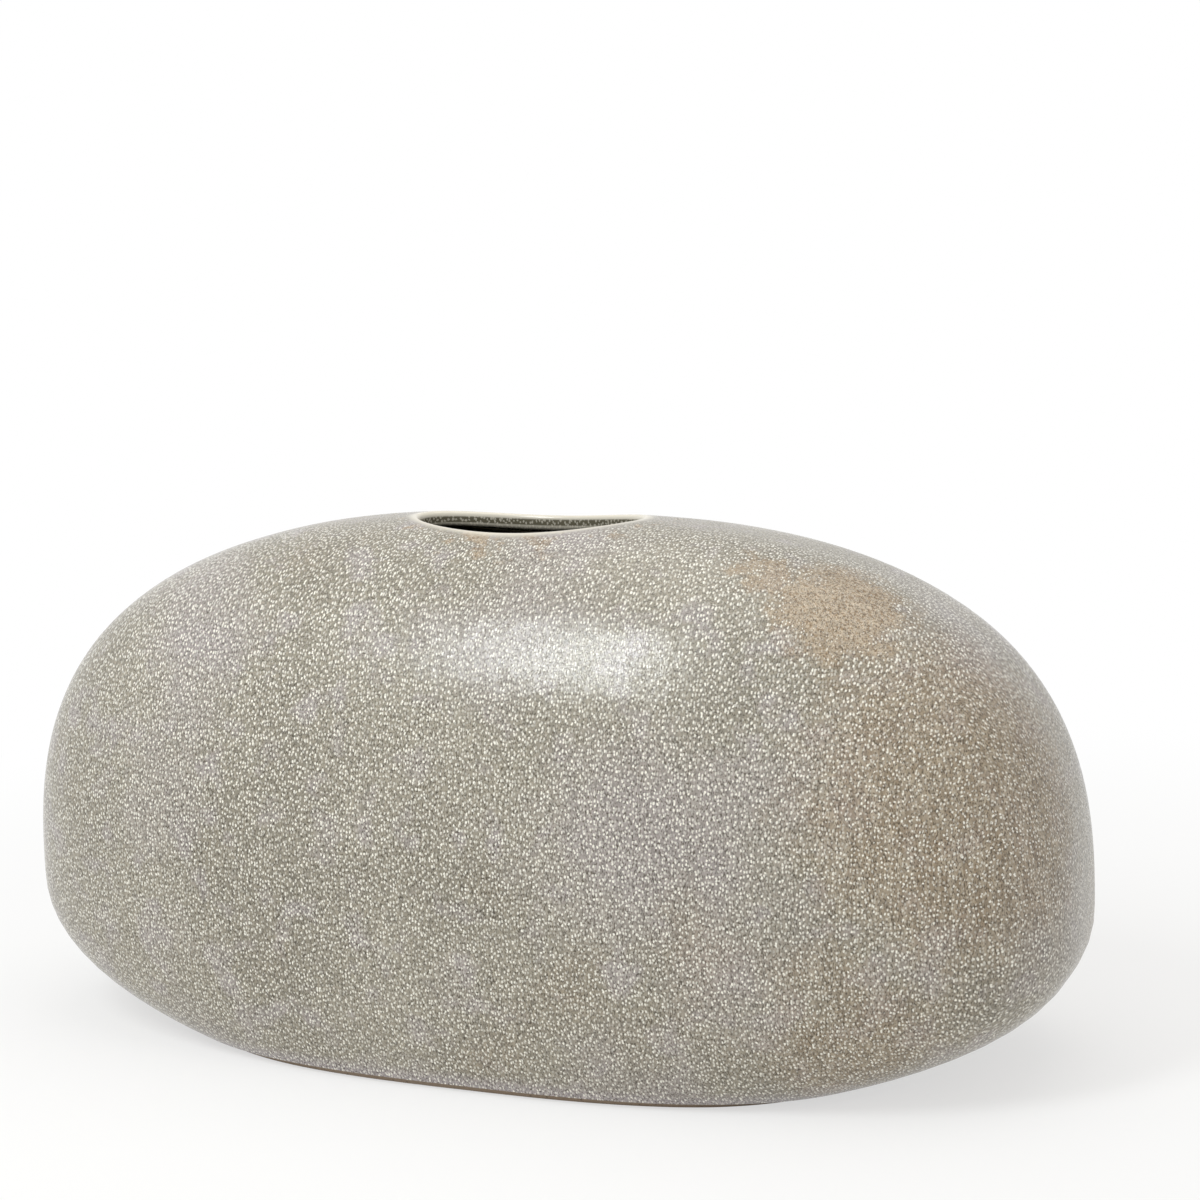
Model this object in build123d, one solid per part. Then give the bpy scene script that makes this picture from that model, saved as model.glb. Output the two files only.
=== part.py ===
from build123d import *
import os
from math import cos, pi, sin

# Sizes are in millimetres. X runs along the vase, Y through its depth and Z up from the table.

# Outside of the finished vase
vase_length = 378.0
vase_depth = 160.0
crown_height = 180.0  # top of the closed crown, before the mouth is cut through it
girth_height = 52.0  # where the body is longest and deepest
base_length = 244.0
base_depth = 144.0

# Powers of the rounded outlines: 2 is an ellipse, more is squarer
plan_power = 2.8
crown_length_power = 2.7
crown_depth_power = 2.2
foot_length_power = 2.25
foot_depth_power = 2.3

# Mouth cut through the crown, and the rim let in round it
mouth_length = 81.0
mouth_width = 42.0
rim_width = 6.0
lip_round = 1.8
throat_round = 1.0

# Clay walls and base
wall_thickness = 4.0
base_thickness = 7.0
foot_round = 2.0
foot_ring_width = 12.0
foot_recess_depth = 2.0

# Glaze coats
glaze_thickness = 0.5
glaze_gather = 1.2  # the outer coat gathers to this, measured level, at the foot
glaze_line_height = 2.4  # the outer coat stops here and leaves the foot bare

# How finely the outlines are drawn, and where the crown's last level stops short of its top
half_outline_spans = 12
foot_levels = 7
crown_levels = 14
last_level_share = 0.96

# Reach of every cut past the clay that it cuts
overrun = 10.0


def half_outline(half_length, half_depth, height, side):
    """Half of the squared oval at a height: +1 is the back half, -1 the front half."""
    points = []
    for step in range(half_outline_spans + 1):
        angle = pi * step / half_outline_spans
        reach = (abs(cos(angle)) ** plan_power + abs(sin(angle)) ** plan_power) ** (-1 / plan_power)
        points.append((side * half_length * cos(angle) * reach, side * half_depth * sin(angle) * reach, height))
    return Spline(*points, tangents=((0, side, 0), (0, -side, 0)), tangent_scalars=(1, 1))


def oval(half_length, half_depth, height):
    """A level face with the vase's squared oval outline."""
    halves = [half_outline(half_length, half_depth, height, side) for side in (1, -1)]
    return make_face(halves)


def half_size(height, floor, crown, girth_half, foot_half, crown_power, foot_power):
    """Half of a layer's length or depth at a height."""
    if height >= girth_height:
        rise = (height - girth_height) / (crown - girth_height)
        return girth_half * (1 - rise**crown_power) ** (1 / crown_power)
    drop = (girth_height - height) / (girth_height - floor)
    drawn_in = 1 - (foot_half / girth_half) ** foot_power
    return girth_half * (1 - drawn_in * drop**foot_power) ** (1 / foot_power)


def layer(inset, floor, foot_inset):
    """The body drawn in by an inset on its sides and crown, closed by a level floor."""
    crown = crown_height - inset
    heights = []
    for step in range(foot_levels):
        turn = pi / 2 * step / foot_levels
        heights.append(floor + (girth_height - floor) * (1 - cos(turn)))
    for step in range(crown_levels):
        turn = pi / 2 * last_level_share * step / (crown_levels - 1)
        heights.append(girth_height + (crown - girth_height) * sin(turn))

    girth_halves = (vase_length / 2 - inset, vase_depth / 2 - inset)
    foot_halves = (base_length / 2 - foot_inset, base_depth / 2 - foot_inset)
    crown_powers = (crown_length_power, crown_depth_power)
    foot_powers = (foot_length_power, foot_depth_power)
    levels = []
    for height in heights:
        halves = [
            half_size(height, floor, crown, *sizes)
            for sizes in zip(girth_halves, foot_halves, crown_powers, foot_powers)
        ]
        levels.append(oval(*halves, height))
    return loft(levels)


def mouth_plug(spread):
    """An upright oval plug through the crown, wider than the mouth by a spread all round."""
    plug = Ellipse(mouth_length / 2 + spread, mouth_width / 2 + spread)
    return Pos(0, 0, girth_height) * extrude(plug, crown_height - girth_height + overrun)


def room_above(height):
    """All the room above a level."""
    room = Box(
        vase_length + overrun,
        vase_depth + overrun,
        crown_height + overrun,
        align=(Align.CENTER, Align.CENTER, Align.MIN),
    )
    return Pos(0, 0, height) * room


def room_behind_seam(height):
    """All the room behind the upright seam and above a level."""
    room = Box(
        vase_length + overrun,
        vase_depth + overrun,
        crown_height + overrun,
        align=(Align.CENTER, Align.MIN, Align.MIN),
    )
    return Pos(0, 0, height) * room


outside = layer(0, 0, 0)
clay_outside = layer(glaze_thickness, 0, glaze_gather)
clay_inside = layer(glaze_thickness + wall_thickness, base_thickness, glaze_gather + wall_thickness)
hollow = layer(
    glaze_thickness + wall_thickness + glaze_thickness,
    base_thickness + glaze_thickness,
    glaze_gather + wall_thickness + glaze_thickness,
)
rim_seat = mouth_plug(rim_width)


def back_wall():
    """The back half of the pressed clay body, standing on the base slab."""
    shell = clay_outside - clay_inside - rim_seat
    return shell & room_behind_seam(base_thickness)


def front_wall(back):
    """The front half, pressed to the same shape and joined to the back half along the seam."""
    return mirror(back, about=Plane.XZ)


def base_slab():
    """The clay bottom, with a rounded foot and a shallow recess inside the foot ring."""
    slab = clay_outside - room_above(base_thickness)
    foot_edges = slab.faces().sort_by(Axis.Z)[0].edges()
    slab = fillet(foot_edges, foot_round)
    return slab - foot_plate(0, foot_recess_depth)


def foot_plate(height, thickness):
    """A level plate that fills the inside of the foot ring."""
    inset = glaze_gather + foot_ring_width
    outline = oval(base_length / 2 - inset, base_depth / 2 - inset, height)
    return extrude(outline, thickness, dir=(0, 0, 1))


def mouth_rim():
    """The lip ring, flush with the coats on both sides and rounded where the mouth is cut."""
    ring = (outside - hollow) & (rim_seat - mouth_plug(0))
    for radius, top in ((throat_round, False), (lip_round, True)):
        cut_face = ring.faces().filter_by(GeomType.EXTRUSION).sort_by(SortBy.AREA)[0]
        edges = cut_face.edges().filter_by(GeomType.LINE, reverse=True).sort_by(Axis.Z, reverse=top)
        ring = fillet(edges[:2], radius)
    return ring


def outer_glaze():
    """The coat over the outside, from the glaze line up to the rim."""
    return (outside & room_above(glaze_line_height)) - clay_outside - rim_seat


def inner_glaze():
    """The lining of the hollow, up to the rim."""
    return clay_inside - hollow - rim_seat


def foot_glaze():
    """The thin coat on the roof of the foot's recess."""
    return foot_plate(foot_recess_depth - glaze_thickness, glaze_thickness)


back_half = back_wall()
pieces = {
    "front_wall": front_wall(back_half),
    "back_wall": back_half,
    "base_slab": base_slab(),
    "mouth_rim": mouth_rim(),
    "outer_glaze": outer_glaze(),
    "inner_glaze": inner_glaze(),
    "foot_glaze": foot_glaze(),
}

os.makedirs("parts", exist_ok=True)
for name, shape in pieces.items():
    export_step(shape, f"parts/{name}.step")
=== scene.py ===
"""A pillow vase of glazed stoneware: an add-on that models it piece by piece on its CAD frame."""

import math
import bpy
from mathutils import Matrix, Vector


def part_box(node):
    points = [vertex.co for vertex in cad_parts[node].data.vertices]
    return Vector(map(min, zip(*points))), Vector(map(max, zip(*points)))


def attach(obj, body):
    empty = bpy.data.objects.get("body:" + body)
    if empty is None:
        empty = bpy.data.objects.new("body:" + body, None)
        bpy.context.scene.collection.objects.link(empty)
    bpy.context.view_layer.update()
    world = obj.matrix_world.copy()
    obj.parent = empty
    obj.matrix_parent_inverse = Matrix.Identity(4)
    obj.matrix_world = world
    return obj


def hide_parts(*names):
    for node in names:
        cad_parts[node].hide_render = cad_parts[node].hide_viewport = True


bl_info = {
    "name": "Pillow vase",
    "version": (1, 0, 0),
    "blender": (4, 5, 0),
    "location": "View3D > Sidebar > Vase",
    "description": "Models a stoneware pillow vase in its stippled glaze, on a pale studio floor",
    "category": "Mesh",
}

import bmesh
import bpy
from bpy.props import FloatProperty, FloatVectorProperty, IntProperty, PointerProperty
from mathutils import Matrix, Vector

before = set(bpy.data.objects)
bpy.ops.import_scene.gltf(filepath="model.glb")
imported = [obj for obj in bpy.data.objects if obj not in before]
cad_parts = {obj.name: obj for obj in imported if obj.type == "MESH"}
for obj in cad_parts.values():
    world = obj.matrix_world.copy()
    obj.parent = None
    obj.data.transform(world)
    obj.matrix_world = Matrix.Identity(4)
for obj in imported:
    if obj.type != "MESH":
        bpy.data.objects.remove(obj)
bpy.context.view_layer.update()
coat_low, coat_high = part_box("outer_glaze")
rim_low, rim_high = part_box("mouth_rim")
MM = 0.001

# Levels that a body is drawn up in, below and above its girth, and where the last stops short of the top
FOOT_LEVELS = 14
CROWN_LEVELS = 60
LAST_LEVEL_SHARE = 0.965

# The brow, as a share of the crown's height: above it the skin is drawn in to the lip ring, in so many cuts
BROW_SHARE = 0.8
CROWN_CUTS = 18

# Rings that a floor is closed by, each as a share of the ring before it
FLOOR_RINGS = (0.75, 0.65, 0.5, 0.01)

# Slack when levels are told apart, and the distance within which two vertices are one
LEVEL_SLACK = 0.01 * MM
SAME_PLACE = 0.001 * MM

# Faces that turn by less than this are shaded as one
SMOOTH_ANGLE = math.radians(50)

# Length of the swellings left by the hand, and segments in the rounding of the lip's two edges
SWELLING = 70 * MM
LIP_SEGMENTS = 7

# How far the edges of the patches below stray. Half of it, the mean, is part of their centres.
STRAY = 30 * MM

# Patches where the glaze ran thin: a clear one in two parts on one shoulder, a faint one on that flank and
# two spots below the lip. Each has its centre and reach in mm, and how thin it is at most.
THIN_PATCHES = (
    ((135, -16, 171), 28, 1),
    ((108, -16, 182), 14, 0.85),
    ((182, -36, 120), 70, 0.6),
    ((8, -12, 190), 9, 0.9),
    ((32, -12, 190), 7, 0.6),
)

# Centre of the cool patch on the front, in mm
COOL_PATCH = (80, -61, 105)

# Sockets of a colour Mix node: its two colours and what comes of them
FIRST = 6
SECOND = 7
MIXED = 2

# The photo's camera, fitted to the vase's outline. It stands at a distance in metres from the middle of the
# vase. Stand and aim are each a turn to the right of the front and a rise above level, in degrees. The focal
# length is in pixels of the picture, and the sensor's width in mm.
MIDDLE = (0, 0, 90 * MM)
CAMERA_DISTANCE = 0.85
CAMERA_STAND = (24.101, 13.386)
CAMERA_AIM = (22.509, 9.44)
CAMERA_ROLL = -2.055
FOCAL_PIXELS = 2452.5
PICTURE_PIXELS = 1200
SENSOR_WIDTH = 36


def linear(code):
    """The linear red, green and blue of an sRGB hex colour."""
    parts = [int(code[i : i + 2], 16) / 255 for i in (0, 2, 4)]
    return [c / 12.92 if c <= 0.04045 else ((c + 0.055) / 1.055) ** 2.4 for c in parts]


def size(name, description, default):
    """A length that a user may change."""
    return FloatProperty(
        name=name, description=description, default=default, min=0, precision=5, subtype="DISTANCE"
    )


def power(name, description, default):
    """How square a rounded outline is: 2 is an ellipse."""
    return FloatProperty(name=name, description=description, default=default, min=1.2, max=6)


def colour(name, description, code):
    """A colour of a glaze, the clay or the floor."""
    return FloatVectorProperty(
        name=name, description=description, default=linear(code), size=3, min=0, max=1, subtype="COLOR"
    )


class VaseShape(bpy.types.PropertyGroup):
    """Sizes of the vase, the same as those of its solids."""

    length: size("Length", "Length at the girth", coat_high.x - coat_low.x)
    depth: size("Depth", "Depth at the girth", coat_high.y - coat_low.y)
    crown: size("Crown", "Top of the closed crown, before the mouth is cut", 180 * MM)
    girth: size("Girth height", "Height where the vase is longest and deepest", 52 * MM)
    base_length: size("Base length", "Length where it meets the table", 244 * MM)
    base_depth: size("Base depth", "Depth where it meets the table", 144 * MM)
    seat_length: size("Lip length", "Outer length of the lip ring", rim_high.x - rim_low.x)
    seat_width: size("Lip width", "Outer width of the lip ring", rim_high.y - rim_low.y)
    rim: size("Rim", "Width of the lip ring, from its outer edge to the mouth", 6 * MM)
    lip_round: size("Lip rounding", "Rounding of the lip's upper edge", 1.8 * MM)
    throat_round: size("Throat rounding", "Rounding of the lip's lower edge", 1 * MM)
    wall: size("Wall", "Thickness of the clay wall", 4 * MM)
    floor: size("Floor", "Height of the clay floor inside", 7 * MM)
    coat: size("Glaze coat", "Thickness of the glaze", 0.5 * MM)
    gather: size("Glaze gather", "Level thickness of the outer glaze at the foot", 1.2 * MM)
    line: size("Glaze line", "Height where the outer glaze stops", coat_low.z)
    unevenness: size("Unevenness", "How far the coat swells and sinks, as on hand-finished clay", 0.2 * MM)
    plan_power: power("Plan", "Squareness seen from above", 2.8)
    crown_length_power: power("Crown along", "Squareness of the crown seen from the front", 2.7)
    crown_depth_power: power("Crown across", "Squareness of the crown seen from the end", 2.2)
    foot_length_power: power("Foot along", "Squareness of the foot seen from the front", 2.25)
    foot_depth_power: power("Foot across", "Squareness of the foot seen from the end", 2.3)
    spans: IntProperty(name="Spans", description="Spans in a quarter of an outline", default=52, min=8)


class VaseColours(bpy.types.PropertyGroup):
    """Colours of the glazes, the clay and the floor."""

    ground: colour("Ground", "Taupe ground of the stippled glaze", "9b9484")
    shade: colour("Shade", "Darker clouds in the ground", "8e8777")
    # Ivory of the crystal grains, which also serves as painted glints of the glossy glass
    grain_and_glint: colour("Grain", "Ivory grains on the ground", "faf6ea")
    # How dark the ticks make the ground: partly the pits' own dark rims, partly painted shade in the pits
    fleck_and_pit_shade: colour("Fleck", "What is left of the ground's colour in the dark ticks", "989183")
    tan: colour("Tan", "Warm patches where the glaze ran thin", "b09b7d")
    lavender: colour("Lavender", "Cool clouds in the ground", "aba2a4")
    lip: colour("Lip", "Cream of the lip, where the glaze is thin", "e4ddcc")
    throat: colour("Throat", "Olive of the cut below the lip", "6b6655")
    lining: colour("Lining", "Olive grey of the glaze inside", "5d5848")
    clay: colour("Clay", "Bare fired stoneware", "9a8b7b")
    floor: colour("Floor", "Studio floor", "f4f3f1")


def halves(shape, height, inset, floor, foot_inset):
    """Half length and half depth of a layer at a height, on the same curves as the solids."""
    crown = shape.crown - inset
    sides = (
        (shape.length, shape.base_length, shape.crown_length_power, shape.foot_length_power),
        (shape.depth, shape.base_depth, shape.crown_depth_power, shape.foot_depth_power),
    )
    found = []
    for girth, foot, crown_power, foot_power in sides:
        widest, narrowest = girth / 2 - inset, foot / 2 - foot_inset
        if height >= shape.girth:
            rise = (height - shape.girth) / (crown - shape.girth)
            found.append(widest * (1 - rise**crown_power) ** (1 / crown_power))
        else:
            drop = (shape.girth - height) / (shape.girth - floor)
            drawn_in = 1 - (narrowest / widest) ** foot_power
            found.append(widest * (1 - drawn_in * drop**foot_power) ** (1 / foot_power))
    return found


def select_only(*pieces):
    """Leaves these pieces selected and the first one active."""
    bpy.ops.object.select_all(action="DESELECT")
    for piece in pieces:
        piece.select_set(True)
    bpy.context.view_layer.objects.active = pieces[0]


def choose(piece, kind, wanted):
    """Selects the vertices or edges of an open piece that pass a test, and nothing else."""
    bpy.ops.mesh.select_mode(type=kind)
    bpy.ops.mesh.select_all(action="DESELECT")
    mesh = bmesh.from_edit_mesh(piece.data)
    mesh.normal_update()
    for part in [p for p in (mesh.verts if kind == "VERT" else mesh.edges) if wanted(p)]:
        part.select_set(True)
    bmesh.update_edit_mesh(piece.data)


def mouth_size(shape):
    """Length and width of the mouth."""
    return shape.seat_length - 2 * shape.rim, shape.seat_width - 2 * shape.rim


def mouth_share(place, mouth):
    """How far out from the axis a place lies, as a share of the mouth's own oval."""
    return math.hypot(2 * place.x / mouth[0], 2 * place.y / mouth[1])


def add_oval(shape, length, width, height):
    """Adds a level oval loop to the piece that is being edited, or to a new one that is then edited."""
    bpy.ops.mesh.primitive_circle_add(vertices=4 * shape.spans, radius=1, enter_editmode=True)
    bpy.ops.transform.translate(value=(0, 0, height))
    bpy.ops.transform.resize(value=(length / 2, width / 2, 1), center_override=(0, 0, 0))


def throw_body(shape, inset, floor, foot_inset, low):
    """A whole body: a plate, its corners rounded until they meet, drawn up and sized level by level."""
    crown = shape.crown - inset
    quarter = math.pi / 2
    levels = [
        low + (shape.girth - low) * (1 - math.cos(quarter * step / FOOT_LEVELS))
        for step in range(FOOT_LEVELS)
    ]
    levels += [
        shape.girth + (crown - shape.girth) * math.sin(quarter * LAST_LEVEL_SHARE * step / CROWN_LEVELS)
        for step in range(CROWN_LEVELS + 1)
    ]
    across = halves(shape, low, inset, floor, foot_inset)
    bpy.ops.object.select_all(action="DESELECT")
    bpy.ops.mesh.primitive_plane_add(size=2)
    body = bpy.context.object
    bpy.ops.object.mode_set(mode="EDIT")
    bpy.ops.transform.translate(value=(0, 0, low))
    bpy.ops.transform.resize(value=(*across, 1), center_override=(0, 0, 0))
    bpy.ops.mesh.bevel(
        affect="VERTICES",
        offset_type="PERCENT",
        offset_pct=50,
        segments=shape.spans,
        profile=2 ** (-2 / shape.plan_power),
    )
    bpy.ops.mesh.select_all(action="SELECT")
    bpy.ops.mesh.remove_doubles(threshold=SAME_PLACE)
    bpy.ops.mesh.delete(type="ONLY_FACE")
    bpy.ops.mesh.select_mode(type="EDGE")
    bpy.ops.mesh.select_all(action="SELECT")
    for below, height in zip(levels, levels[1:]):
        wider = halves(shape, height, inset, floor, foot_inset)
        bpy.ops.mesh.extrude_region_move(TRANSFORM_OT_translate={"value": (0, 0, height - below)})
        bpy.ops.transform.resize(
            value=(wider[0] / across[0], wider[1] / across[1], 1), center_override=(0, 0, 0)
        )
        across = wider
    bpy.ops.mesh.edge_face_add()
    bpy.ops.object.mode_set(mode="OBJECT")
    return body, levels


def lay_on(piece, body, first):
    """Lifts the piece's vertices, from a first one on, to the underside of the body's crown skin."""
    select_only(piece)
    group = piece.vertex_groups.new(name="crown")
    group.add(list(range(first, len(piece.data.vertices))), 1, "REPLACE")
    wrap = piece.modifiers.new("crown", "SHRINKWRAP")
    wrap.target = body
    wrap.wrap_method = "PROJECT"
    wrap.use_project_z = True
    wrap.vertex_group = group.name
    bpy.ops.object.modifier_apply(modifier=wrap.name)
    piece.vertex_groups.clear()


def open_skin(shape, body, levels):
    """The body's skin with its crown drawn in to the lip ring, open at the lip and at the foot.

    The new oval starts well below the skin's open edge, because a bridge between two loops on one level can
    twist.
    """
    brow = next(height for height in levels if height > BROW_SHARE * shape.crown)
    select_only(body)
    bpy.ops.object.duplicate()
    skin = bpy.context.object
    bpy.ops.object.mode_set(mode="EDIT")
    choose(skin, "VERT", lambda vert: vert.co.z > brow + LEVEL_SLACK)
    bpy.ops.mesh.delete(type="VERT")
    kept = len(bmesh.from_edit_mesh(skin.data).verts)
    add_oval(shape, shape.seat_length, shape.seat_width, (shape.girth + brow) / 2)
    choose(skin, "EDGE", lambda edge: len(edge.link_faces) < 2 and edge.verts[0].co.z > shape.girth)
    bpy.ops.mesh.bridge_edge_loops(number_cuts=CROWN_CUTS, interpolation="LINEAR")
    bpy.ops.object.mode_set(mode="OBJECT")
    lay_on(skin, body, kept)
    return skin


def close_floor(skin):
    """Closes an open skin's foot with a level floor."""
    select_only(skin)
    bpy.ops.object.mode_set(mode="EDIT")
    lowest = min(v.co.z for v in skin.data.vertices)
    choose(skin, "EDGE", lambda edge: edge.is_boundary and edge.verts[0].co.z < lowest + LEVEL_SLACK)
    for share in FLOOR_RINGS:
        bpy.ops.mesh.extrude_region_move()
        bpy.ops.transform.resize(value=(share, share, 1), center_override=(0, 0, 0))
    bpy.ops.mesh.merge(type="CENTER")
    bpy.ops.object.mode_set(mode="OBJECT")


def close_coat(outer, inner):
    """Joins two skins into one coat, round the lip and, where both are open there, round the foot."""
    select_only(outer, inner)
    bpy.ops.object.join()
    bpy.ops.object.mode_set(mode="EDIT")
    middle = sum(v.co.z for v in outer.data.vertices) / len(outer.data.vertices)
    for upper in (True, False):
        choose(outer, "EDGE", lambda edge: edge.is_boundary and (edge.verts[0].co.z > middle) == upper)
        if outer.data.total_edge_sel:
            bpy.ops.mesh.bridge_edge_loops(number_cuts=1, interpolation="LINEAR")
    bpy.ops.mesh.select_all(action="SELECT")
    bpy.ops.mesh.normals_make_consistent(inside=False)
    bpy.ops.object.mode_set(mode="OBJECT")


def swell(shape, piece):
    """Turns a skin's faces outwards and lets it swell and sink a little, as hand-finished clay does."""
    select_only(piece)
    bpy.ops.object.mode_set(mode="EDIT")
    bpy.ops.mesh.select_all(action="SELECT")
    bpy.ops.mesh.normals_make_consistent(inside=False)
    highest = max(bmesh.from_edit_mesh(piece.data).faces, key=lambda face: face.calc_center_median().z)
    if highest.normal.z < 0:
        bpy.ops.mesh.flip_normals()
    bpy.ops.object.mode_set(mode="OBJECT")
    clouds = bpy.data.textures.new("hand finish", "CLOUDS")
    clouds.noise_scale = SWELLING
    clouds.noise_depth = 1
    rise = piece.modifiers.new("hand finish", "DISPLACE")
    rise.texture = clouds
    rise.texture_coords = "GLOBAL"
    rise.strength = 2 * shape.unevenness
    bpy.ops.object.modifier_apply(modifier=rise.name)


def mark_lip(shape, piece, body):
    """Keeps at each vertex how far it lies down the cut of the mouth or, below zero, out from it."""
    mouth = mouth_size(shape)
    run = piece.data.attributes.new("lip_run", "FLOAT", "POINT")
    for vert in piece.data.vertices:
        x, y, z = vert.co
        ratio = mouth_share(vert.co, mouth)
        outward = math.hypot(x, y) * (1 - 1 / max(ratio, 1))
        met, top, _, _ = body.ray_cast((x, y, 2 * shape.crown), (0, 0, -1))
        drop = top.z - z if met and z > shape.girth and outward < shape.rim else 0
        run.data[vert.index].value = drop - outward - max(0, shape.girth - z)


def unfold(piece):
    """Lays a flat map in metres over a piece for the grains, from the side that each face looks to."""
    select_only(piece)
    bpy.ops.object.mode_set(mode="EDIT")
    bpy.ops.mesh.select_all(action="SELECT")
    bpy.ops.uv.cube_project(cube_size=1)
    bpy.ops.object.mode_set(mode="OBJECT")
    piece.data.uv_layers.active.name = "stipple"


def finish_with(piece, material):
    """Gives a piece a material, in place of any that it has."""
    piece.data.materials.clear()
    piece.data.materials.append(material)


def place_piece(piece, name, node, material):
    """Names a piece, smooths and finishes it, and puts it in place of its CAD node."""
    select_only(piece)
    bpy.ops.object.shade_smooth_by_angle(angle=SMOOTH_ANGLE)
    piece.name = piece.data.name = name
    finish_with(piece, material)
    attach(piece, "root")
    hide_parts(node)


def add(tree, kind, inputs=(), **settings):
    """Adds a node with its settings, its values and its links."""
    node = tree.nodes.new(kind)
    for name, value in settings.items():
        setattr(node, name, value)
    for name, value in dict(inputs).items():
        if isinstance(value, bpy.types.NodeSocket):
            tree.links.new(value, node.inputs[name])
        else:
            node.inputs[name].default_value = value
    return node


def new_tree(name):
    """An empty material and its node tree."""
    material = bpy.data.materials.new(name)
    material.use_nodes = True
    material.node_tree.nodes.clear()
    return material, material.node_tree


def stippled_glaze(name, colours):
    """Reactive stoneware glaze: ivory crystals that stand as fine grains in a glossy taupe glass.

    It breaks to cream at the lip, to olive on the cut of the mouth, and to brown-specked tan where it ran
    thin. Its ivory grains are partly painted glints, its dark ticks partly painted shade in pits, and the
    pale arris at the bottom of the cut is a painted highlight.
    """
    material, tree = new_tree(name)
    place = add(tree, "ShaderNodeTexCoord").outputs["Object"]
    run = add(tree, "ShaderNodeAttribute", attribute_name="lip_run").outputs["Fac"]
    near_lip = add(
        tree,
        "ShaderNodeMapRange",
        {"Value": run, "From Min": -7.5 * MM, "From Max": -3 * MM, "To Min": 1, "To Max": 0.12},
        interpolation_type="SMOOTHSTEP",
    ).outputs["Result"]

    # Tan where the glaze ran thin: the placed patches, small spots below the lip, and chance ones elsewhere
    wander = add(tree, "ShaderNodeTexNoise", {"Vector": place, "Scale": 1 / (9 * MM), "Detail": 3})
    strayed = add(
        tree,
        "ShaderNodeVectorMath",
        {0: wander.outputs["Color"], 1: (STRAY,) * 3, 2: place},
        operation="MULTIPLY_ADD",
    )
    chance = add(tree, "ShaderNodeTexNoise", {"Vector": place, "Scale": 1 / (95 * MM), "Detail": 4})
    thin = add(
        tree,
        "ShaderNodeMapRange",
        {"Value": chance.outputs["Fac"], "From Min": 0.56, "From Max": 0.72, "To Max": 0.5},
        interpolation_type="SMOOTHSTEP",
    ).outputs["Result"]
    for centre, reach, most in THIN_PATCHES:
        away = add(
            tree,
            "ShaderNodeVectorMath",
            {0: strayed.outputs[0], 1: [c * MM for c in centre]},
            operation="DISTANCE",
        ).outputs["Value"]
        patch = add(
            tree,
            "ShaderNodeMapRange",
            {"Value": away, "From Min": reach * MM, "From Max": 0.5 * reach * MM, "To Max": most},
            interpolation_type="SMOOTHSTEP",
        ).outputs["Result"]
        thin = add(tree, "ShaderNodeMath", {0: thin, 1: patch}, operation="MAXIMUM").outputs[0]

    below_lip = add(
        tree,
        "ShaderNodeMapRange",
        {"Value": run, "From Min": -20 * MM, "From Max": -10 * MM},
        interpolation_type="SMOOTHSTEP",
    )
    spots = add(tree, "ShaderNodeTexNoise", {"Vector": place, "Scale": 1 / (5 * MM), "Detail": 1})
    spot = add(
        tree,
        "ShaderNodeMapRange",
        {"Value": spots.outputs["Fac"], "From Min": 0.62, "From Max": 0.7, "To Max": 0.8},
    ).outputs["Result"]
    for share in (below_lip.outputs["Result"], near_lip):
        spot = add(tree, "ShaderNodeMath", {0: spot, 1: share}, operation="MULTIPLY").outputs[0]
    thin = add(tree, "ShaderNodeMath", {0: thin, 1: spot}, operation="MAXIMUM").outputs[0]

    # Ivory grains about 1 mm apart in loose upright rows, smaller where the glaze is thin, and fainter at the
    # lip, over the top of the crown and behind it. They are partly the crystals' colour and partly painted
    # glints of the glossy glass.
    flat = add(tree, "ShaderNodeUVMap", uv_map="stipple").outputs["UV"]
    upright = add(tree, "ShaderNodeMapping", {"Vector": flat, "Scale": (1, 0.7, 1)}).outputs["Vector"]
    stir = add(tree, "ShaderNodeTexNoise", {"Vector": place, "Scale": 1 / (0.7 * MM), "Detail": 0})
    ragged = add(
        tree,
        "ShaderNodeVectorMath",
        {0: stir.outputs["Color"], 1: (0.5 * MM,) * 3, 2: upright},
        operation="MULTIPLY_ADD",
    )
    cells = add(
        tree,
        "ShaderNodeTexVoronoi",
        {"Vector": ragged.outputs[0], "Scale": 1 / (1.06 * MM), "Randomness": 0.85},
        voronoi_dimensions="2D",
    )
    thinnest = add(tree, "ShaderNodeMath", {0: thin, 1: 3}, operation="POWER").outputs[0]
    apart = add(
        tree,
        "ShaderNodeMath",
        {0: thinnest, 1: 0.2, 2: cells.outputs["Distance"]},
        operation="MULTIPLY_ADD",
    )
    crystal_and_glint = add(
        tree,
        "ShaderNodeMapRange",
        {"Value": apart.outputs[0], "From Min": 0.36, "From Max": 0.22},
        interpolation_type="SMOOTHSTEP",
    )
    drawn = add(tree, "ShaderNodeSeparateColor", {"Color": cells.outputs["Color"]})
    pale = add(tree, "ShaderNodeMapRange", {"Value": drawn.outputs["Red"], "To Min": 0.2, "To Max": 1})
    upwards = add(tree, "ShaderNodeVectorMath", {0: place, 1: (0, 0.8, 1)}, operation="DOT_PRODUCT")
    calm = add(
        tree,
        "ShaderNodeMapRange",
        {
            "Value": upwards.outputs["Value"],
            "From Min": 158 * MM,
            "From Max": 178 * MM,
            "To Min": 1,
            "To Max": 0.4,
        },
        interpolation_type="SMOOTHSTEP",
    )
    grain_and_glint = crystal_and_glint.outputs["Result"]
    for share in (pale.outputs["Result"], near_lip, calm.outputs["Result"]):
        grain_and_glint = add(tree, "ShaderNodeMath", {0: grain_and_glint, 1: share}, operation="MULTIPLY").outputs[0]

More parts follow.
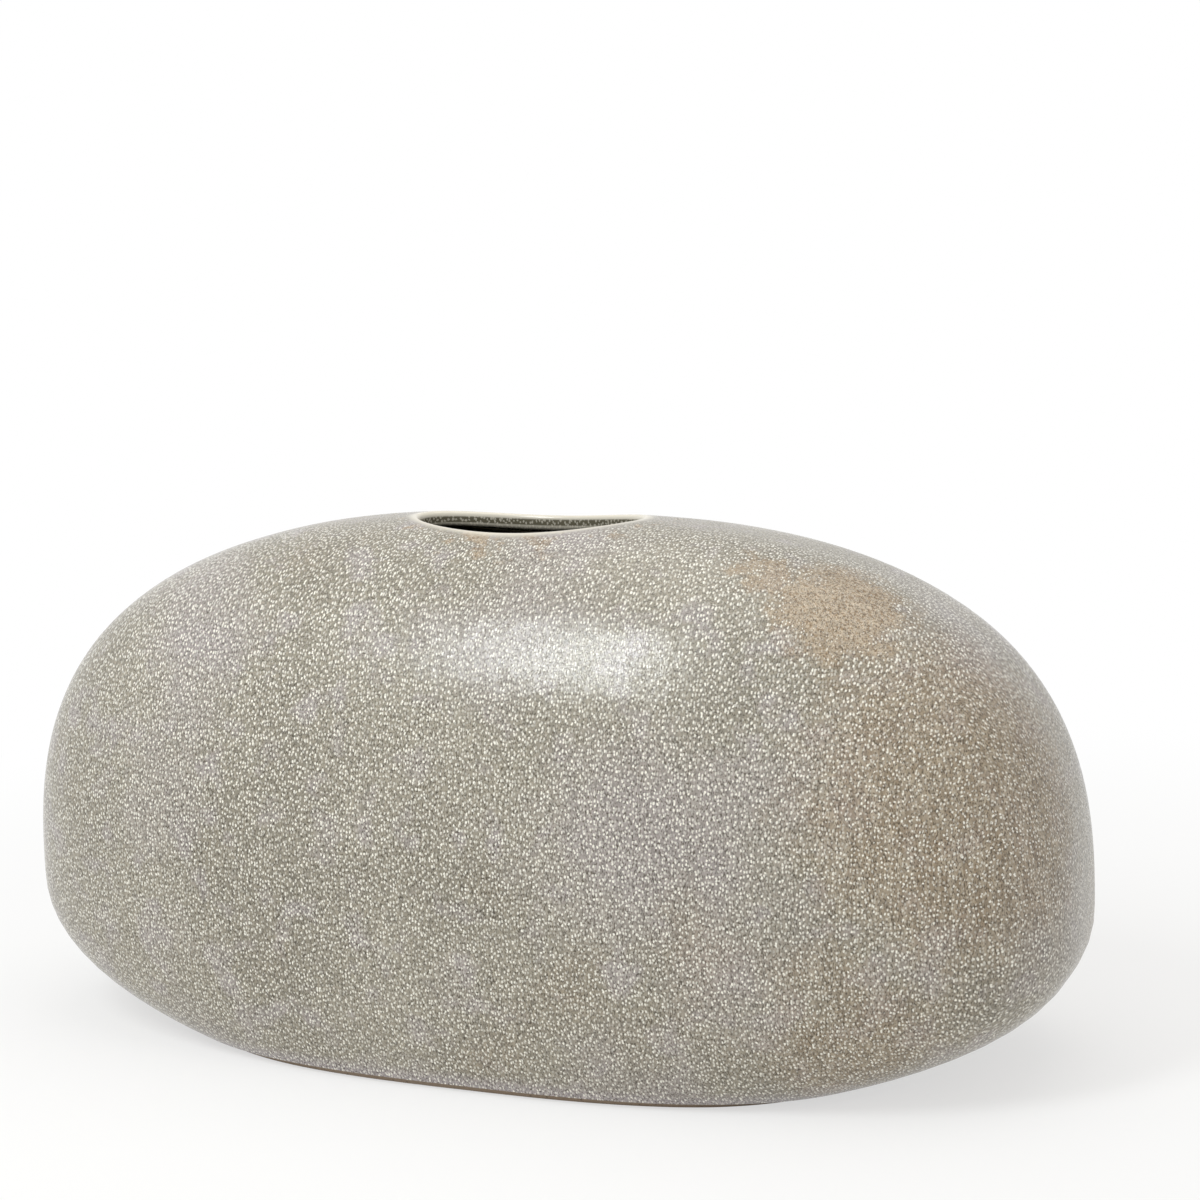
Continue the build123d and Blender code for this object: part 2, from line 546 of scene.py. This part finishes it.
    # Finer dark ticks all over, drawn coarser than the real ones may be, so that they show. Their darkening
    # is partly dark rims of pits and partly painted shade in the pits.
    streaky = add(tree, "ShaderNodeMapping", {"Vector": place, "Scale": (1, 1, 0.45)}).outputs["Vector"]
    pocked = add(tree, "ShaderNodeTexNoise", {"Vector": streaky, "Scale": 1 / (0.36 * MM), "Detail": 0})
    tick = add(
        tree,
        "ShaderNodeMapRange",
        {"Value": pocked.outputs["Fac"], "From Min": 0.46, "From Max": 0.3},
        interpolation_type="SMOOTHSTEP",
    ).outputs["Result"]
    tick = add(tree, "ShaderNodeMath", {0: tick, 1: near_lip}, operation="MULTIPLY").outputs[0]

    # Ground: taupe clouds about 45 mm across, and cooler ones about 60 and 13 mm across, along the foot and
    # on the front. The cooler clouds are looked up aside, so that they don't follow the taupe ones.
    cloud = add(tree, "ShaderNodeTexNoise", {"Vector": place, "Scale": 1 / (45 * MM), "Detail": 3})
    cloudy = add(
        tree, "ShaderNodeMapRange", {"Value": cloud.outputs["Fac"], "From Min": 0.38, "From Max": 0.66}
    )
    ground = add(
        tree,
        "ShaderNodeMix",
        {"Factor": cloudy.outputs["Result"], FIRST: (*colours.ground, 1), SECOND: (*colours.shade, 1)},
        data_type="RGBA",
    )
    aside = add(
        tree, "ShaderNodeMapping", {"Vector": place, "Location": (0.31, 0.17, 0.05)}
    ).outputs["Vector"]
    cool = add(tree, "ShaderNodeTexNoise", {"Vector": aside, "Scale": 1 / (60 * MM), "Detail": 4})
    cooler = add(
        tree,
        "ShaderNodeMapRange",
        {"Value": cool.outputs["Fac"], "From Min": 0.5, "From Max": 0.72, "To Max": 0.6},
    ).outputs["Result"]
    mauve = add(tree, "ShaderNodeTexNoise", {"Vector": aside, "Scale": 1 / (13 * MM), "Detail": 2})
    tinted = add(
        tree,
        "ShaderNodeMapRange",
        {"Value": mauve.outputs["Fac"], "From Min": 0.53, "From Max": 0.68, "To Max": 0.5},
    )
    height = add(tree, "ShaderNodeSeparateXYZ", {"Vector": place}).outputs["Z"]
    foot = add(
        tree,
        "ShaderNodeMapRange",
        {"Value": height, "From Min": 9 * MM, "From Max": 3 * MM, "To Max": 0.8},
        interpolation_type="SMOOTHSTEP",
    )
    front = add(
        tree,
        "ShaderNodeVectorMath",
        {0: strayed.outputs[0], 1: [c * MM for c in COOL_PATCH]},
        operation="DISTANCE",
    )
    faint = add(
        tree,
        "ShaderNodeMapRange",
        {"Value": front.outputs["Value"], "From Min": 46 * MM, "From Max": 10 * MM, "To Max": 0.5},
        interpolation_type="SMOOTHSTEP",
    )
    for other in (tinted, foot, faint):
        cooler = add(
            tree, "ShaderNodeMath", {0: cooler, 1: other.outputs["Result"]}, operation="MAXIMUM"
        ).outputs[0]
    ground = add(
        tree,
        "ShaderNodeMix",
        {"Factor": cooler, FIRST: ground.outputs[MIXED], SECOND: (*colours.lavender, 1)},
        data_type="RGBA",
    )

    # Tan in upright streaks of sand and brown, and specked with brown where the glaze is thinnest
    runs = add(tree, "ShaderNodeMapping", {"Vector": place, "Scale": (1, 1, 0.1)}).outputs["Vector"]
    streak = add(tree, "ShaderNodeTexNoise", {"Vector": runs, "Scale": 1 / (1.6 * MM), "Detail": 2})
    streak = add(
        tree, "ShaderNodeMapRange", {"Value": streak.outputs["Fac"], "From Min": 0.42, "From Max": 0.58}
    )
    brown = [c * k for c, k in zip(colours.tan, (0.58, 0.5, 0.38))]
    sandy = [c * k for c, k in zip(colours.tan, (1.12, 1.2, 1.36))]
    streaky_tan = add(
        tree,
        "ShaderNodeMix",
        {"Factor": streak.outputs["Result"], FIRST: (*sandy, 1), SECOND: (*brown, 1)},
        data_type="RGBA",
    )
    speck = add(tree, "ShaderNodeTexNoise", {"Vector": streaky, "Scale": 1 / (0.9 * MM), "Detail": 1})
    speck = add(
        tree, "ShaderNodeMapRange", {"Value": speck.outputs["Fac"], "From Min": 0.48, "From Max": 0.64}
    )
    specked_tan = add(
        tree,
        "ShaderNodeMix",
        {"Factor": speck.outputs["Result"], FIRST: (*sandy, 1), SECOND: (*brown, 1)},
        data_type="RGBA",
    )
    tans = add(
        tree,
        "ShaderNodeMix",
        {"Factor": thinnest, FIRST: streaky_tan.outputs[MIXED], SECOND: specked_tan.outputs[MIXED]},
        data_type="RGBA",
    )
    ground = add(
        tree,
        "ShaderNodeMix",
        {"Factor": thin, FIRST: ground.outputs[MIXED], SECOND: tans.outputs[MIXED]},
        data_type="RGBA",
    )

    # A fine mottle, then the ticks, partly painted shade, and the grains, partly painted glints, over it
    mottle = add(tree, "ShaderNodeTexNoise", {"Vector": streaky, "Scale": 1 / (1.1 * MM), "Detail": 3})
    mottled = add(
        tree,
        "ShaderNodeMapRange",
        {"Value": mottle.outputs["Fac"], "From Min": 0.3, "From Max": 0.7, "To Min": 0.74, "To Max": 1.26},
    )
    ground = add(
        tree,
        "ShaderNodeVectorMath",
        {0: ground.outputs[MIXED], "Scale": mottled.outputs["Result"]},
        operation="SCALE",
    )
    ticked = add(
        tree,
        "ShaderNodeMix",
        {"Factor": tick, FIRST: ground.outputs[0], SECOND: (*colours.fleck_and_pit_shade, 1)},
        data_type="RGBA",
        blend_type="MULTIPLY",
    )
    grained_and_glinted = add(
        tree,
        "ShaderNodeMix",
        {"Factor": grain_and_glint, FIRST: ticked.outputs[MIXED], SECOND: (*colours.grain_and_glint, 1)},
        data_type="RGBA",
    )

    # Cream round the lip, speckled olive below it on the cut, and a painted highlight on the arris at the
    # bottom of the cut, where its gloss would catch light
    cream = add(
        tree,
        "ShaderNodeMapRange",
        {"Value": run, "From Min": -5 * MM, "From Max": -1 * MM, "To Max": 0.95},
        interpolation_type="SMOOTHSTEP",
    )
    lipped = add(
        tree,
        "ShaderNodeMix",
        {"Factor": cream.outputs["Result"], FIRST: grained_and_glinted.outputs[MIXED], SECOND: (*colours.lip, 1)},
        data_type="RGBA",
    )
    cut = add(tree, "ShaderNodeMapRange", {"Value": run, "From Min": 1.6 * MM, "From Max": 2.1 * MM})
    # Painted highlight along the arris at the bottom of the cut: the olive thins out there so that paler
    # glaze shows
    painted_arris_highlight = add(
        tree,
        "ShaderNodeMapRange",
        {"Value": run, "From Min": 3.8 * MM, "From Max": 4.1 * MM, "To Min": 1, "To Max": 0.4},
    )
    speckle = add(
        tree, "ShaderNodeMapRange", {"Value": crystal_and_glint.outputs["Result"], "To Min": 1, "To Max": 0.35}
    )
    olive = cut.outputs["Result"]
    for share in (painted_arris_highlight, speckle):
        olive = add(
            tree, "ShaderNodeMath", {0: olive, 1: share.outputs["Result"]}, operation="MULTIPLY"
        ).outputs[0]
    coated = add(
        tree,
        "ShaderNodeMix",
        {"Factor": olive, FIRST: lipped.outputs[MIXED], SECOND: (*colours.throat, 1)},
        data_type="RGBA",
    )

    # The glass is a little wavy, the grains stand up in it and the ticks are pits
    wave = add(tree, "ShaderNodeTexNoise", {"Vector": place, "Scale": 1 / (7 * MM), "Detail": 2})
    waves = add(tree, "ShaderNodeMath", {0: wave.outputs["Fac"], 1: 1.6}, operation="MULTIPLY")
    stipple = add(
        tree,
        "ShaderNodeMath",
        {0: crystal_and_glint.outputs["Result"], 1: 0.4, 2: waves.outputs[0]},
        operation="MULTIPLY_ADD",
    )
    pits = add(tree, "ShaderNodeMath", {0: tick, 1: -0.4, 2: stipple.outputs[0]}, operation="MULTIPLY_ADD")
    relief = add(tree, "ShaderNodeMath", {0: pits.outputs[0], 1: near_lip}, operation="MULTIPLY")
    bump = add(tree, "ShaderNodeBump", {"Height": relief.outputs[0], "Distance": 0.2 * MM, "Strength": 0.8})
    shine = add(
        tree,
        "ShaderNodeMapRange",
        {"Value": cloud.outputs["Fac"], "From Min": 0.3, "From Max": 0.7, "To Min": 0.17, "To Max": 0.25},
    )
    glass = add(
        tree,
        "ShaderNodeBsdfPrincipled",
        {
            "Base Color": coated.outputs[MIXED],
            "Roughness": shine.outputs["Result"],
            "IOR": 1.6,
            "Normal": bump.outputs["Normal"],
        },
    )
    add(tree, "ShaderNodeOutputMaterial", {"Surface": glass.outputs["BSDF"]})
    return material


def lining_glaze(name, colours):
    """Poured lining glaze: a thin olive-grey glass that pools, with pale flecks where it crawled."""
    material, tree = new_tree(name)
    place = add(tree, "ShaderNodeTexCoord").outputs["Object"]
    pool = add(tree, "ShaderNodeTexNoise", {"Vector": place, "Scale": 1 / (25 * MM), "Detail": 3})
    deep = [0.62 * c for c in colours.lining]
    pooled = add(
        tree,
        "ShaderNodeMix",
        {"Factor": pool.outputs["Fac"], FIRST: (*colours.lining, 1), SECOND: (*deep, 1)},
        data_type="RGBA",
    )
    cells = add(tree, "ShaderNodeTexVoronoi", {"Vector": place, "Scale": 1 / (2.2 * MM)})
    crawl = add(
        tree,
        "ShaderNodeMapRange",
        {"Value": cells.outputs["Distance"], "From Min": 0.3, "From Max": 0.12, "To Max": 0.5},
        interpolation_type="SMOOTHSTEP",
    )
    flecked = add(
        tree,
        "ShaderNodeMix",
        {"Factor": crawl.outputs["Result"], FIRST: pooled.outputs[MIXED], SECOND: (*colours.grain_and_glint, 1)},
        data_type="RGBA",
    )
    bump = add(
        tree, "ShaderNodeBump", {"Height": pool.outputs["Fac"], "Distance": 0.5 * MM, "Strength": 0.4}
    )
    shine = add(tree, "ShaderNodeMapRange", {"Value": pool.outputs["Fac"], "To Min": 0.25, "To Max": 0.45})
    glass = add(
        tree,
        "ShaderNodeBsdfPrincipled",
        {
            "Base Color": flecked.outputs[MIXED],
            "Roughness": shine.outputs["Result"],
            "IOR": 1.52,
            "Normal": bump.outputs["Normal"],
        },
    )
    add(tree, "ShaderNodeOutputMaterial", {"Surface": glass.outputs["BSDF"]})
    return material


def bare_stoneware(name, colours):
    """Unglazed stoneware, sponged and fired: dry and sandy, toasted in clouds, with dark iron specks."""
    material, tree = new_tree(name)
    place = add(tree, "ShaderNodeTexCoord").outputs["Object"]
    toast = add(tree, "ShaderNodeTexNoise", {"Vector": place, "Scale": 1 / (30 * MM), "Detail": 4})
    toasted = [c * k for c, k in zip(colours.clay, (0.86, 0.76, 0.66))]
    body = add(
        tree,
        "ShaderNodeMix",
        {"Factor": toast.outputs["Fac"], FIRST: (*colours.clay, 1), SECOND: (*toasted, 1)},
        data_type="RGBA",
    )
    iron = add(tree, "ShaderNodeTexVoronoi", {"Vector": place, "Scale": 1 / (2.6 * MM)})
    specks = add(
        tree,
        "ShaderNodeMapRange",
        {"Value": iron.outputs["Distance"], "From Min": 0.17, "From Max": 0.1, "To Max": 0.7},
    )
    dark = [0.3 * c for c in colours.clay]
    specked = add(
        tree,
        "ShaderNodeMix",
        {"Factor": specks.outputs["Result"], FIRST: body.outputs[MIXED], SECOND: (*dark, 1)},
        data_type="RGBA",
    )
    # Sandy tooth, drawn coarser than real sand, so that it shows
    sand = add(tree, "ShaderNodeTexNoise", {"Vector": place, "Scale": 1 / (0.6 * MM), "Detail": 2})
    bump = add(
        tree, "ShaderNodeBump", {"Height": sand.outputs["Fac"], "Distance": 0.12 * MM, "Strength": 0.6}
    )
    dry = add(tree, "ShaderNodeMapRange", {"Value": sand.outputs["Fac"], "To Min": 0.78, "To Max": 0.95})
    clay = add(
        tree,
        "ShaderNodeBsdfPrincipled",
        {
            "Base Color": specked.outputs[MIXED],
            "Roughness": dry.outputs["Result"],
            "IOR": 1.5,
            "Normal": bump.outputs["Normal"],
        },
    )
    add(tree, "ShaderNodeOutputMaterial", {"Surface": clay.outputs["BSDF"]})
    return material


class VASE_OT_outer_glaze(bpy.types.Operator):
    """Models the stippled coat over the outside, from the glaze line up to the lip ring"""

    bl_idname = "vase.outer_glaze"
    bl_label = "Outer glaze"

    def execute(self, context):
        shape = context.scene.vase_shape
        body, levels = throw_body(shape, 0, 0, 0, shape.line)
        # The coat's lower edge slopes up inwards, as glaze draws back at its line
        clay, clay_levels = throw_body(shape, shape.coat, 0, shape.gather, shape.line + shape.coat / 2)
        outer = open_skin(shape, body, levels)
        swell(shape, outer)
        inner = open_skin(shape, clay, clay_levels)
        close_coat(outer, inner)
        mark_lip(shape, outer, body)
        unfold(outer)
        bpy.data.objects.remove(body)
        bpy.data.objects.remove(clay)
        finish = stippled_glaze("stippled reactive glaze", context.scene.vase_colours)
        place_piece(outer, "stippled_coat", "outer_glaze", finish)
        return {"FINISHED"}


class VASE_OT_mouth_rim(bpy.types.Operator):
    """Models the lip ring round the mouth, rounded above and below where the mouth is cut"""

    bl_idname = "vase.mouth_rim"
    bl_label = "Lip ring"

    def execute(self, context):
        shape = context.scene.vase_shape
        thick = 2 * shape.coat + shape.wall
        body, _ = throw_body(shape, 0, 0, 0, shape.line)
        floor = shape.floor + shape.coat
        hollow, _ = throw_body(shape, thick, floor, shape.gather + shape.wall + shape.coat, floor)
        mouth = mouth_size(shape)
        rings = []
        for form in (body, hollow):
            bpy.ops.object.select_all(action="DESELECT")
            add_oval(shape, shape.seat_length, shape.seat_width, shape.girth)
            ring = bpy.context.object
            add_oval(shape, *mouth, shape.girth)
            bpy.ops.mesh.select_mode(type="EDGE")
            bpy.ops.mesh.select_all(action="SELECT")
            bpy.ops.mesh.bridge_edge_loops(number_cuts=1, interpolation="LINEAR")
            bpy.ops.object.mode_set(mode="OBJECT")
            lay_on(ring, form, 0)
            rings.append(ring)
        swell(shape, rings[0])
        select_only(*rings)
        bpy.ops.object.join()
        lip = bpy.context.object
        bpy.ops.object.mode_set(mode="EDIT")
        middle = 1 + shape.rim / mouth[0]
        for inside in (True, False):
            choose(
                lip,
                "EDGE",
                lambda edge: edge.is_boundary
                and (mouth_share(edge.verts[0].co, mouth) < middle) == inside,
            )
            bpy.ops.mesh.bridge_edge_loops()
        bpy.ops.mesh.select_all(action="SELECT")
        bpy.ops.mesh.normals_make_consistent(inside=False)
        for side, radius in ((1, shape.lip_round), (-1, shape.throat_round)):
            choose(
                lip,
                "EDGE",
                lambda edge: max(side * f.normal.z for f in edge.link_faces) > 0.5
                and min(abs(f.normal.z) for f in edge.link_faces) < 0.3
                and mouth_share(edge.verts[0].co, mouth) < middle,
            )
            bpy.ops.mesh.bevel(offset=radius, segments=LIP_SEGMENTS, profile=0.5, affect="EDGES")
        bpy.ops.object.mode_set(mode="OBJECT")
        mark_lip(shape, lip, body)
        unfold(lip)
        bpy.data.objects.remove(body)
        bpy.data.objects.remove(hollow)
        finish = stippled_glaze("thin lip glaze", context.scene.vase_colours)
        place_piece(lip, "lip_ring", "mouth_rim", finish)
        return {"FINISHED"}


class VASE_OT_inner_glaze(bpy.types.Operator):
    """Models the lining of the hollow, with its floor, up to the lip ring"""

    bl_idname = "vase.inner_glaze"
    bl_label = "Lining"

    def execute(self, context):
        shape = context.scene.vase_shape
        skins = []
        for depth in (shape.coat, 0):
            floor = shape.floor + depth
            body, levels = throw_body(
                shape, shape.coat + shape.wall + depth, floor, shape.gather + shape.wall + depth, floor
            )
            skins.append(open_skin(shape, body, levels))
            close_floor(skins[-1])
            bpy.data.objects.remove(body)
        close_coat(*skins)
        finish = lining_glaze("poured lining glaze", context.scene.vase_colours)
        place_piece(skins[0], "lining_coat", "inner_glaze", finish)
        return {"FINISHED"}


class VASE_OT_clay(bpy.types.Operator):
    """Finishes the two clay halves and the base slab, which keep the shape of their solids"""

    bl_idname = "vase.clay"
    bl_label = "Clay body"

    def execute(self, context):
        finish = bare_stoneware("bare stoneware", context.scene.vase_colours)
        for name in ("front_wall", "back_wall", "base_slab"):
            finish_with(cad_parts[name], finish)
        return {"FINISHED"}


class VASE_OT_foot_glaze(bpy.types.Operator):
    """Finishes the thin glaze in the recess under the base, which keeps the shape of its solid"""

    bl_idname = "vase.foot_glaze"
    bl_label = "Foot glaze"

    def execute(self, context):
        finish = lining_glaze("foot glaze", context.scene.vase_colours)
        finish_with(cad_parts["foot_glaze"], finish)
        return {"FINISHED"}


def seen_share(tree):
    """1 where the camera looks, straight, mirrored or through glass, and 0 for what only lights the vase."""
    ray = add(tree, "ShaderNodeLightPath")
    seen = ray.outputs["Is Camera Ray"]
    for kind in ("Is Glossy Ray", "Is Transmission Ray"):
        seen = add(tree, "ShaderNodeMath", {0: seen, 1: ray.outputs[kind]}, operation="MAXIMUM").outputs[0]
    return seen


def direction(turn, rise):
    """The way that lies a turn to the right of the vase's front and a rise above level, in degrees."""
    turn, rise = math.radians(turn), math.radians(rise)
    return Vector((math.sin(turn) * math.cos(rise), -math.cos(turn) * math.cos(rise), math.sin(rise)))


class VASE_OT_stage(bpy.types.Operator):
    """Sets up the pale floor, the soft studio light and the camera"""

    bl_idname = "vase.stage"
    bl_label = "Studio"

    def execute(self, context):
        scene = context.scene
        colours = scene.vase_colours
        scene.view_settings.view_transform = "Standard"

        # Paper that is seen nearly white, as in the photo, and keeps a faint shade close to the vase. It is
        # just below the foot, so that the two never share a level.
        bpy.ops.object.select_all(action="DESELECT")
        bpy.ops.mesh.primitive_plane_add(size=12, location=(0, 0, -0.1 * MM))
        floor = bpy.context.object
        floor.name = "studio_floor"
        paper, tree = new_tree("studio paper")
        matt = add(tree, "ShaderNodeBsdfDiffuse", {"Color": (*colours.floor, 1)})
        white = add(tree, "ShaderNodeEmission", {"Color": (1, 1, 1, 1), "Strength": 1})
        place = add(tree, "ShaderNodeTexCoord").outputs["Object"]
        away = add(tree, "ShaderNodeVectorMath", {0: place}, operation="LENGTH")
        fade = add(
            tree,
            "ShaderNodeMapRange",
            {"Value": away.outputs["Value"], "From Min": 0.15, "From Max": 0.55, "To Min": 0.62},
            interpolation_type="SMOOTHSTEP",
        )
        share = add(
            tree, "ShaderNodeMath", {0: seen_share(tree), 1: fade.outputs["Result"]}, operation="MULTIPLY"
        )
        mixed = add(
            tree,
            "ShaderNodeMixShader",
            {0: share.outputs[0], 1: matt.outputs["BSDF"], 2: white.outputs["Emission"]},
        )
        add(tree, "ShaderNodeOutputMaterial", {"Surface": mixed.outputs["Shader"]})
        floor.data.materials.append(paper)

        # A sky that is seen white and lights the vase about half as strongly
        world = bpy.data.worlds.new("studio")
        scene.world = world
        world.use_nodes = True
        tree = world.node_tree
        tree.nodes.clear()
        level = add(tree, "ShaderNodeMapRange", {"Value": seen_share(tree), "To Min": 0.53})
        sky = add(
            tree, "ShaderNodeBackground", {"Color": (1, 1, 1, 1), "Strength": level.outputs["Result"]}
        )
        add(tree, "ShaderNodeOutputWorld", {"Surface": sky.outputs["Background"]})

        # A soft box over the front left, a metre from where its mirror image lies along the shoulder, and
        # one overhead: each with its place, the way of its width, the way behind it, its size, watts and tint
        mirrored = Vector((0.038, -0.06, 0.145))
        behind = Vector((-0.32, -0.6, 0.73)).normalized()
        along = behind.cross(Vector((0.9, -0.3, 0.2))).cross(behind).normalized()
        above = Vector((0.15, 0.1, 1.35))
        key = (mirrored + behind, along, behind)
        fill = (above, Vector((1, 0, 0)), Vector((0, 0, 1)))
        for (spot, across, rear), name, width, height, watts, tint in (
            (key, "soft box", 0.25, 0.42, 5, (0.94, 0.98, 1)),
            (fill, "overhead soft box", 1.2, 1.2, 5.5, (1, 0.97, 0.92)),
        ):
            lamp = bpy.data.lights.new(name, "AREA")
            lamp.shape = "RECTANGLE"
            lamp.size = width
            lamp.size_y = height
            lamp.energy = watts
            lamp.color = tint
            soft_box = bpy.data.objects.new(name, lamp)
            scene.collection.objects.link(soft_box)
            axes = Matrix((across, rear.cross(across), rear)).transposed().to_4x4()
            soft_box.matrix_world = Matrix.Translation(spot) @ axes

        view = bpy.data.cameras.new("studio camera")
        view.sensor_width = SENSOR_WIDTH
        view.lens = FOCAL_PIXELS / PICTURE_PIXELS * SENSOR_WIDTH
        camera = bpy.data.objects.new("studio camera", view)
        scene.collection.objects.link(camera)
        eye = Vector(MIDDLE) + CAMERA_DISTANCE * direction(*CAMERA_STAND)
        back = direction(*CAMERA_AIM)
        right = direction(CAMERA_AIM[0] + 90, 0)
        up = back.cross(right)
        roll = math.radians(CAMERA_ROLL)
        tilted = right * math.cos(roll) + up * math.sin(roll)
        upright = up * math.cos(roll) - right * math.sin(roll)
        axes = Matrix((tilted, upright, back)).transposed().to_4x4()
        camera.matrix_world = Matrix.Translation(eye) @ axes
        scene.camera = camera
        return {"FINISHED"}


class VASE_PT_panel(bpy.types.Panel):
    """Lists the pieces of the vase and its studio"""

    bl_idname = "VASE_PT_panel"
    bl_label = "Pillow vase"
    bl_space_type = "VIEW_3D"
    bl_region_type = "UI"
    bl_category = "Vase"

    def draw(self, context):
        for piece in PIECES:
            self.layout.operator(piece.bl_idname)
        for group in (context.scene.vase_shape, context.scene.vase_colours):
            for name in group.__annotations__:
                self.layout.prop(group, name)


PIECES = (
    VASE_OT_outer_glaze,
    VASE_OT_mouth_rim,
    VASE_OT_inner_glaze,
    VASE_OT_clay,
    VASE_OT_foot_glaze,
    VASE_OT_stage,
)
CLASSES = (VaseShape, VaseColours, *PIECES, VASE_PT_panel)


def register():
    for cls in CLASSES:
        bpy.utils.register_class(cls)
    bpy.types.Scene.vase_shape = PointerProperty(type=VaseShape)
    bpy.types.Scene.vase_colours = PointerProperty(type=VaseColours)


def unregister():
    del bpy.types.Scene.vase_colours
    del bpy.types.Scene.vase_shape
    for cls in reversed(CLASSES):
        bpy.utils.unregister_class(cls)


def main():
    register()
    bpy.ops.vase.outer_glaze()
    bpy.ops.vase.mouth_rim()
    bpy.ops.vase.inner_glaze()
    bpy.ops.vase.clay()
    bpy.ops.vase.foot_glaze()
    bpy.ops.vase.stage()


if __name__ == "__main__":
    main()
